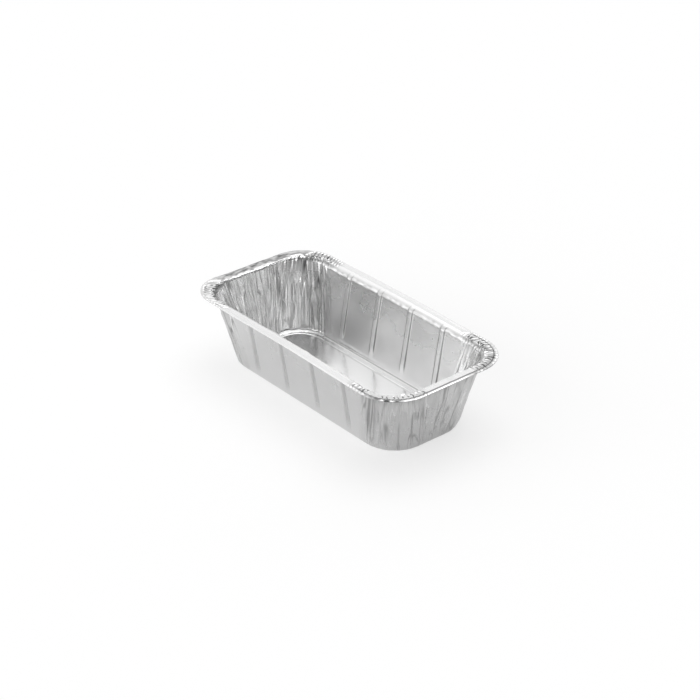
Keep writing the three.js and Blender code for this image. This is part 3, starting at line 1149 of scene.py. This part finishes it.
@dataclass
class Skins:
    """Both skins of one zone, ready to become a closed mesh.

    Attributes:
        outer: Grid of points of the skin outside the pan.
        inner: Grid of points of the skin inside the pan.
        facing: Directions out of the pan at those points.
        painted_light: Painted shade at those points of both skins, and a painted highlight where it is below
            0.
    """

    outer: np.ndarray
    inner: np.ndarray
    facing: np.ndarray
    painted_light: np.ndarray

    SHORTEST = 1e-12

    def mesh(self, name: str) -> bpy.types.Mesh:
        """Closed mesh of the two skins and the four edges between them.

        Args:
            name: Name of the mesh.

        Returns:
            The mesh, with the sheet's own directions as corner normals, so that zones join unseen.
        """
        rows, columns = self.outer.shape[:2]
        number = np.arange(rows * columns).reshape(rows, columns)
        skin = np.stack([number[:-1, :-1], number[:-1, 1:], number[1:, 1:], number[1:, :-1]], axis=-1)
        outer = skin.reshape(-1, 4)
        inner = outer[:, ::-1] + number.size
        loop = np.concatenate([number[0, :-1], number[:-1, -1], number[-1, :0:-1], number[:0:-1, 0]])
        following = np.roll(loop, -1)
        edge = np.stack([following, loop, loop + number.size, following + number.size], axis=-1)
        faces = np.concatenate([outer, inner, edge])
        points = np.concatenate([self.outer.reshape(-1, 3), self.inner.reshape(-1, 3)])
        made = new_mesh(name, points, faces)
        set_values(made, SIDE, np.repeat([0.0, 1.0], number.size))
        set_values(made, PAINTED_LIGHT, self.painted_light.ravel())
        facing = self.facing.reshape(-1, 3)
        normals = np.concatenate([facing, -facing])[faces]
        corners = points[faces[-len(edge):]]
        across = np.cross(corners[:, 2] - corners[:, 0], corners[:, 3] - corners[:, 1])
        across /= np.maximum(np.linalg.norm(across, axis=-1, keepdims=True), self.SHORTEST)
        normals[-len(edge):] = across[:, None, :]
        made.normals_split_custom_set(normals.reshape(-1, 3))
        return made


def set_values(mesh: bpy.types.Mesh, name: str, values: np.ndarray) -> None:
    """Gives each point of a mesh a value for its material to read."""
    layer = mesh.attributes.new(name, "FLOAT", "POINT")
    layer.data.foreach_set("value", values.astype(np.float32))


def new_mesh(name: str, points: np.ndarray, faces: np.ndarray) -> bpy.types.Mesh:
    """Mesh of four-sided faces.

    Args:
        name: Name of the mesh.
        points: Places of the points.
        faces: Four point numbers for each face.

    Returns:
        The mesh, shaded smooth.
    """
    mesh = bpy.data.meshes.new(name)
    mesh.vertices.add(len(points))
    mesh.vertices.foreach_set("co", points.astype(np.float32).ravel())
    mesh.loops.add(faces.size)
    mesh.loops.foreach_set("vertex_index", faces.astype(np.int32).ravel())
    mesh.polygons.add(len(faces))
    mesh.polygons.foreach_set("loop_start", np.arange(0, faces.size, 4, dtype=np.int32))
    mesh.polygons.foreach_set("use_smooth", np.ones(len(faces), dtype=bool))
    mesh.update(calc_edges=True)
    mesh.validate()
    return mesh


class NodeTree:
    """Small helper that adds nodes to a shader tree and links them by socket name."""

    def __init__(self, tree: bpy.types.NodeTree) -> None:
        """Keeps the tree.

        Args:
            tree: Tree of a material, world or node group.
        """
        self.tree = tree

    def add(self, kind: str, **values: object) -> bpy.types.Node:
        """New node with some of its properties set."""
        node = self.tree.nodes.new(kind)
        for name, value in values.items():
            setattr(node, name, value)
        return node

    def _put(self, value: object, socket: bpy.types.NodeSocket) -> None:
        """Links an output socket to an input, or sets the input to a number or a colour."""
        if isinstance(value, bpy.types.NodeSocket):
            self.tree.links.new(value, socket)
        else:
            socket.default_value = value

    def feed(self, node: bpy.types.Node, **inputs: object) -> bpy.types.Node:
        """Sets or links a node's inputs, named with underscores for spaces.

        Args:
            node: Node to feed.
            **inputs: Numbers or colours to set, or output sockets to link.

        Returns:
            The same node.
        """
        for name, value in inputs.items():
            self._put(value, node.inputs[name.replace("_", " ")])
        return node

    def math(self, operation: str, *values: object, kind: str = "ShaderNodeMath") -> object:
        """New math node fed in the order of its inputs.

        Args:
            operation: Name of the operation.
            *values: Numbers to set, or output sockets to link.
            kind: Kind of math node.

        Returns:
            The output socket of its value.
        """
        node = self.add(kind, operation=operation)
        for value, socket in zip(values, node.inputs):
            self._put(value, socket)
        return node.outputs["Value"]


class FoilGroups:
    """Shader node groups that the foil finishes share."""

    MOTTLE_DETAIL = 3.0
    STREAK_DETAIL = 2.0
    STREAK_STRETCH = (0.03, 1.0, 1.0)
    CREASE_SHARE = 0.6

    def __init__(self) -> None:
        """Builds each group once."""
        self.mottle = self._mottle()
        self.relief = self._relief()

    @staticmethod
    def _group(name: str, numbers: tuple[str, ...], result: str) -> tuple[NodeTree, object, object]:
        """Empty group that takes a vector and numbers and gives one number.

        Args:
            name: Name of the group.
            numbers: Names of the numbers.
            result: Name of the number that it gives.

        Returns:
            The tree, the sockets of its input node and its output node.
        """
        tree = bpy.data.node_groups.new(name, "ShaderNodeTree")
        tree.interface.new_socket("Vector", in_out="INPUT", socket_type="NodeSocketVector")
        for label in numbers:
            tree.interface.new_socket(label, in_out="INPUT", socket_type="NodeSocketFloat")
        tree.interface.new_socket(result, in_out="OUTPUT", socket_type="NodeSocketFloat")
        nodes = NodeTree(tree)
        return nodes, nodes.add("NodeGroupInput").outputs, nodes.add("NodeGroupOutput")

    def _mottle(self) -> bpy.types.NodeTree:
        """Cloudy change of a value over the foil: Middle + Spread * (noise - 1/2)."""
        nodes, given, end = self._group("foil_mottle", ("Scale", "Middle", "Spread"), "Value")
        noise = nodes.add("ShaderNodeTexNoise")
        nodes.feed(noise, Vector=given["Vector"], Scale=given["Scale"], Detail=self.MOTTLE_DETAIL)
        centred = nodes.math("SUBTRACT", noise.outputs["Fac"], 0.5)
        nodes.feed(end, Value=nodes.math("MULTIPLY_ADD", centred, given["Spread"], given["Middle"]))
        return nodes.tree

    def _relief(self) -> bpy.types.NodeTree:
        """Fine height of handled foil: small creases from cell edges plus rolled streaks."""
        nodes, given, end = self._group("foil_relief", ("Crease Scale", "Streak Scale"), "Height")
        cells = nodes.add("ShaderNodeTexVoronoi", feature="DISTANCE_TO_EDGE")
        nodes.feed(cells, Vector=given["Vector"], Scale=given["Crease Scale"])
        stretch = nodes.add("ShaderNodeMapping")
        nodes.feed(stretch, Vector=given["Vector"], Scale=self.STREAK_STRETCH)
        streak = nodes.add("ShaderNodeTexNoise")
        stretched = stretch.outputs["Vector"]
        nodes.feed(streak, Vector=stretched, Scale=given["Streak Scale"], Detail=self.STREAK_DETAIL)
        creases = cells.outputs["Distance"]
        nodes.feed(end, Height=nodes.math("MULTIPLY_ADD", creases, self.CREASE_SHARE, streak.outputs["Fac"]))
        return nodes.tree


@dataclass(frozen=True)
class FoilFinish:
    """Rolled aluminium foil, matt outside the pan and bright inside it.

    Attributes:
        name: Name of the material.
        tones: Grey of the outside and of the inside.
        roughness: Roughness of the outside and of the inside.
        tone_spread: How far the grey changes over the surface.
        roughness_spread: How far the roughness changes.
        relief: Depth of the fine creases and streaks.
        crease_scale: Creases per metre.
    """

    name: str
    tones: tuple[float, float]
    roughness: tuple[float, float]
    tone_spread: float = 0.05
    roughness_spread: float = 0.08
    relief: float = 0.04 * MM
    crease_scale: float = 160.0

    # A painted shade of 1 takes this share of the grey and adds this roughness; a painted highlight works the
    # other way.
    PAINTED_LIGHT_GREY = 0.8
    PAINTED_LIGHT_ROUGHNESS = 0.2
    GREY_SCALE = 28.0
    ROUGHNESS_SCALE = 56.0
    STREAK_SCALE = 900.0

    def material(self, groups: FoilGroups) -> bpy.types.Material:
        """Metal whose grey, roughness and fine height come from the shared groups.

        Args:
            groups: Shared node groups.

        Returns:
            The material.
        """
        material = bpy.data.materials.new(self.name)
        material.use_nodes = True
        nodes = NodeTree(material.node_tree)
        place = nodes.add("ShaderNodeTexCoord").outputs["Object"]
        side = nodes.add("ShaderNodeAttribute", attribute_name=SIDE).outputs["Fac"]
        mottled = []
        for values, spread, scale in (
            (self.tones, self.tone_spread, self.GREY_SCALE),
            (self.roughness, self.roughness_spread, self.ROUGHNESS_SCALE),
        ):
            mottle = nodes.add("ShaderNodeGroup", node_tree=groups.mottle)
            middle = self._sided(nodes, side, values)
            nodes.feed(mottle, Vector=place, Scale=scale, Middle=middle, Spread=spread)
            mottled.append(mottle.outputs["Value"])
        grey, rough = self._with_painted_light(nodes, *mottled)
        relief = nodes.add("ShaderNodeGroup", node_tree=groups.relief)
        nodes.feed(relief, Vector=place, Crease_Scale=self.crease_scale, Streak_Scale=self.STREAK_SCALE)
        bump = nodes.add("ShaderNodeBump")
        nodes.feed(bump, Height=relief.outputs["Height"], Distance=self.relief)
        shader = material.node_tree.nodes["Principled BSDF"]
        nodes.feed(shader, Base_Color=grey, Metallic=1.0, Roughness=rough, Normal=bump.outputs["Normal"])
        return material

    @classmethod
    def _with_painted_light(cls, nodes: NodeTree, grey: object, rough: object) -> tuple[object, object]:
        """Grey darkened by the painted shade and brightened by the painted highlights, with roughness raised
        and lowered along with them.

        Args:
            nodes: Tree of the material.
            grey: Output socket of the grey.
            rough: Output socket of the roughness.

        Returns:
            The sockets of both.
        """
        painted_light = nodes.add("ShaderNodeAttribute", attribute_name=PAINTED_LIGHT).outputs["Fac"]
        kept = nodes.math("MULTIPLY_ADD", painted_light, -cls.PAINTED_LIGHT_GREY, 1.0)
        return nodes.math("MULTIPLY", grey, kept), nodes.math("MULTIPLY_ADD", painted_light, cls.PAINTED_LIGHT_ROUGHNESS, rough)

    @staticmethod
    def _sided(nodes: NodeTree, side: object, values: tuple[float, float]) -> object:
        """Output socket that goes from the outside's value to the inside's."""
        span = nodes.add("ShaderNodeMapRange")
        nodes.feed(span, Value=side, To_Min=values[0], To_Max=values[1])
        return span.outputs["Result"]


WALL_FOIL = FoilFinish("wall_foil", tones=(0.75, 0.885), roughness=(0.24, 0.22))
LONG_FOIL = FoilFinish("long_wall_foil", tones=(0.75, 0.885), roughness=(0.24, 0.3))
FLOOR_FOIL = FoilFinish("floor_foil", tones=(0.71, 0.93), roughness=(0.24, 0.2), crease_scale=120.0)
RIM_FOIL = FoilFinish(
    "rim_foil", tones=(0.7, 0.86), roughness=(0.24, 0.24), relief=0.03 * MM, crease_scale=200.0
)


class FoilPan:
    """The dressed pan: a piece for each zone of the frame."""

    BODY = "root"
    SLOT = "foil"
    ENDING = "_sheet"

    def __init__(self, sizes: PanSizes, marks: WallMarks) -> None:
        """Works out the surfaces and the finishes.

        Args:
            sizes: Sizes of the pan.
            marks: All that is pressed into its sheet, and the light and shade painted on it.
        """
        self.sheet = FoilSheet(sizes, marks)
        self.floor = FloorPanel(sizes)
        groups = FoilGroups()
        self.rim_finish = RIM_FOIL.material(groups)
        self.wall_finishes = {Stretch.LONG: LONG_FOIL.material(groups)}
        self.wall_finishes |= dict.fromkeys((Stretch.END, Stretch.CORNER), WALL_FOIL.material(groups))
        self.floor_finish = FLOOR_FOIL.material(groups)

    def build(self) -> list[bpy.types.Object]:
        """Makes every piece.

        Returns:
            The pieces, floor first and then round the pan.
        """
        floor = Skins(self.floor.outer, self.floor.inner, self.floor.outer_facing, self.floor.painted_light)
        pieces = [self._piece("base_panel", floor, self.floor_finish)]
        for number, band in enumerate(BANDS):
            for zone in Zone:
                finish = self.wall_finishes[band.kind] if zone is Zone.WALL else self.rim_finish
                pieces.append(self._piece(self._node(band, zone), self._skins(number, zone), finish))
        return pieces

    @staticmethod
    def _node(band: Band, zone: Zone) -> str:
        """Name of the frame's node for a zone."""
        if zone is Zone.WALL:
            return f"{band.name}_{band.kind.value}"
        ending = "_corner" if band.kind is Stretch.CORNER else ""
        return f"{band.name}_{zone.value}{ending}"

    def _skins(self, band: int, zone: Zone) -> Skins:
        """Skins of one zone of the sheet."""
        rows, columns = self.sheet.zone(band, zone)
        return Skins(
            self.sheet.outer[rows][:, columns],
            self.sheet.inner[rows][:, columns],
            self.sheet.outer_facing[rows][:, columns],
            self.sheet.painted_light[:, rows][:, :, columns],
        )

    def _piece(self, node: str, skins: Skins, finish: bpy.types.Material) -> bpy.types.Object:
        """Piece that stands for a node of the frame.

        Args:
            node: Name of the node.
            skins: Skins of its zone.
            finish: Its material.

        Returns:
            The piece, riding on the pan's body.
        """
        mesh = skins.mesh(node + self.ENDING)
        mesh.materials.append(finish)
        piece = bpy.data.objects.new(node + self.ENDING, mesh)
        bpy.context.scene.collection.objects.link(piece)
        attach(piece, self.BODY)
        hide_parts(node)
        LOG.info("%s: %d faces", piece.name, len(mesh.polygons))
        return piece


@dataclass(frozen=True)
class Softbox:
    """Large round patch of soft light, far off.

    Attributes:
        towards: Direction of its middle.
        full: Angle from the middle within which it is even, in degrees.
        soft: Angle over which its edge fades, in degrees.
        tone: Grey of its light.
    """

    towards: tuple[float, float, float]
    full: float
    soft: float
    tone: float

    def glow(self, nodes: NodeTree, direction: object) -> object:
        """Tone times an ease of the angle between its middle and the direction looked in.

        Args:
            nodes: Tree of the world.
            direction: Output socket of that direction.

        Returns:
            The socket of its share of the light.
        """
        middle = Vector(self.towards).normalized()
        nearness = nodes.math("DOT_PRODUCT", direction, middle, kind="ShaderNodeVectorMath")
        angle = nodes.math("ARCCOSINE", nearness)
        share = nodes.add("ShaderNodeMapRange", interpolation_type="SMOOTHSTEP")
        start, end = math.radians(self.full), math.radians(self.full + self.soft)
        nodes.feed(share, Value=angle, From_Min=start, From_Max=end, To_Min=self.tone, To_Max=0.0)
        return share.outputs["Result"]


@dataclass(frozen=True)
class Studio:
    """Pale floor, soft light and camera.

    Attributes:
        floor_half: Half the width of the floor.
        floor_tone: Grey of the floor.
        floor_white: Share of plain white in the floor as the camera sees it, and as it is seen in the foil.
        floor_roughness: Roughness of the floor.
        world_tone: Grey of the surroundings between the softboxes.
        azimuth: Direction of the camera round the pan, in degrees.
        elevation: Direction of the camera above the table, in degrees.
        distance: Distance of the camera from the pan's origin.
        focal: Focal length in pixels of the picture.
        picture: Width of the picture in pixels.
        origin_at: Pixel where the pan's origin shows.
    """

    floor_half: float = 6.0
    floor_tone: float = 0.95
    floor_white: tuple[float, float] = (0.68, 0.3)
    floor_roughness: float = 0.9
    world_tone: float = 0.12
    azimuth: float = 50.05
    elevation: float = 30.66
    distance: float = 1.9705
    focal: float = 1942.4
    picture: float = 700.0
    origin_at: tuple[float, float] = (345.14, 387.8)

    WHITE = (1.0, 1.0, 1.0, 1.0)
    SENSOR = 36.0
    AIM_STEPS = 20
    LEFT = Softbox((-0.94, 0.27, 0.22), 55.0, 26.0, 0.83)
    OVERHEAD = Softbox((-0.06, 0.29, 0.96), 19.0, 17.0, 2.0)
    FRONT = Softbox((-0.12, -0.99, 0.0), 34.0, 18.0, 2.0)
    RIGHT = Softbox((0.66, -0.66, 0.36), 18.0, 26.0, 0.5)

    def build(self) -> None:
        """Makes the floor, the light and the camera."""
        self._floor()
        self._world()
        self._camera()
        bpy.context.scene.view_settings.view_transform = "Standard"

    def _floor(self) -> None:
        """Level pale sheet under the pan."""
        signs = np.array([(-1, -1, 0), (1, -1, 0), (1, 1, 0), (-1, 1, 0)])
        mesh = new_mesh("studio_floor", self.floor_half * signs, np.array([[0, 1, 2, 3]]))
        mesh.materials.append(self._floor_finish())
        floor = bpy.data.objects.new("studio_floor", mesh)
        bpy.context.scene.collection.objects.link(floor)

    def _floor_finish(self) -> bpy.types.Material:
        """Pale matt paper, partly plain white to the camera and in the foil, so that its shadow is light."""
        material = bpy.data.materials.new("studio_floor")
        material.use_nodes = True
        nodes = NodeTree(material.node_tree)
        rays = nodes.add("ShaderNodeLightPath").outputs
        seen, mirrored = self.floor_white
        passed_on = nodes.math("ADD", rays["Is Glossy Ray"], rays["Is Transmission Ray"])
        in_foil = nodes.math("MULTIPLY", passed_on, mirrored)
        white = nodes.math("MULTIPLY_ADD", rays["Is Camera Ray"], seen, in_foil)
        paper = nodes.math("MULTIPLY_ADD", white, -self.floor_tone, self.floor_tone)
        shader = material.node_tree.nodes["Principled BSDF"]
        nodes.feed(shader, Base_Color=paper, Roughness=self.floor_roughness, Specular_IOR_Level=0.0)
        nodes.feed(shader, Emission_Color=self.WHITE, Emission_Strength=white)
        return material

    def _world(self) -> None:
        """Dim surroundings plus the softboxes."""
        world = bpy.data.worlds.new("studio_world")
        world.use_nodes = True
        nodes = NodeTree(world.node_tree)
        direction = nodes.add("ShaderNodeTexCoord").outputs["Generated"]
        light = self.world_tone
        for softbox in (self.LEFT, self.OVERHEAD, self.FRONT, self.RIGHT):
            light = nodes.math("ADD", light, softbox.glow(nodes, direction))
        nodes.feed(world.node_tree.nodes["Background"], Strength=light, Color=self.WHITE)
        bpy.context.scene.world = world

    def _camera(self) -> None:
        """Camera on the stated direction, turned so that the origin shows at its pixel."""
        azimuth, elevation = math.radians(self.azimuth), math.radians(self.elevation)
        level = math.cos(elevation)
        back = Vector((math.sin(azimuth) * level, -math.cos(azimuth) * level, math.sin(elevation)))
        across = (self.origin_at[0] - self.picture / 2) / self.focal
        above = (self.picture / 2 - self.origin_at[1]) / self.focal
        forward = -back
        for _ in range(self.AIM_STEPS):
            right = forward.cross(Vector((0, 0, 1))).normalized()
            up = right.cross(forward)
            depth = -back.dot(forward)
            forward = (-back - depth * (across * right + above * up)).normalized()
        lens = bpy.data.cameras.new("camera")
        lens.sensor_width = self.SENSOR
        lens.lens = self.focal * self.SENSOR / self.picture
        camera = bpy.data.objects.new("camera", lens)
        turn = Matrix((right, up, -forward)).transposed().to_4x4()
        camera.matrix_world = Matrix.Translation(back * self.distance) @ turn
        bpy.context.scene.collection.objects.link(camera)
        bpy.context.scene.camera = camera


def main() -> None:
    """Builds the studio and the pan, and reports each piece."""
    logging.basicConfig(level=logging.INFO)
    Studio().build()
    pieces = FoilPan(PanSizes.from_frame(), WallMarks()).build()
    LOG.info("%d pieces", len(pieces))


if __name__ == "__main__":
    main()
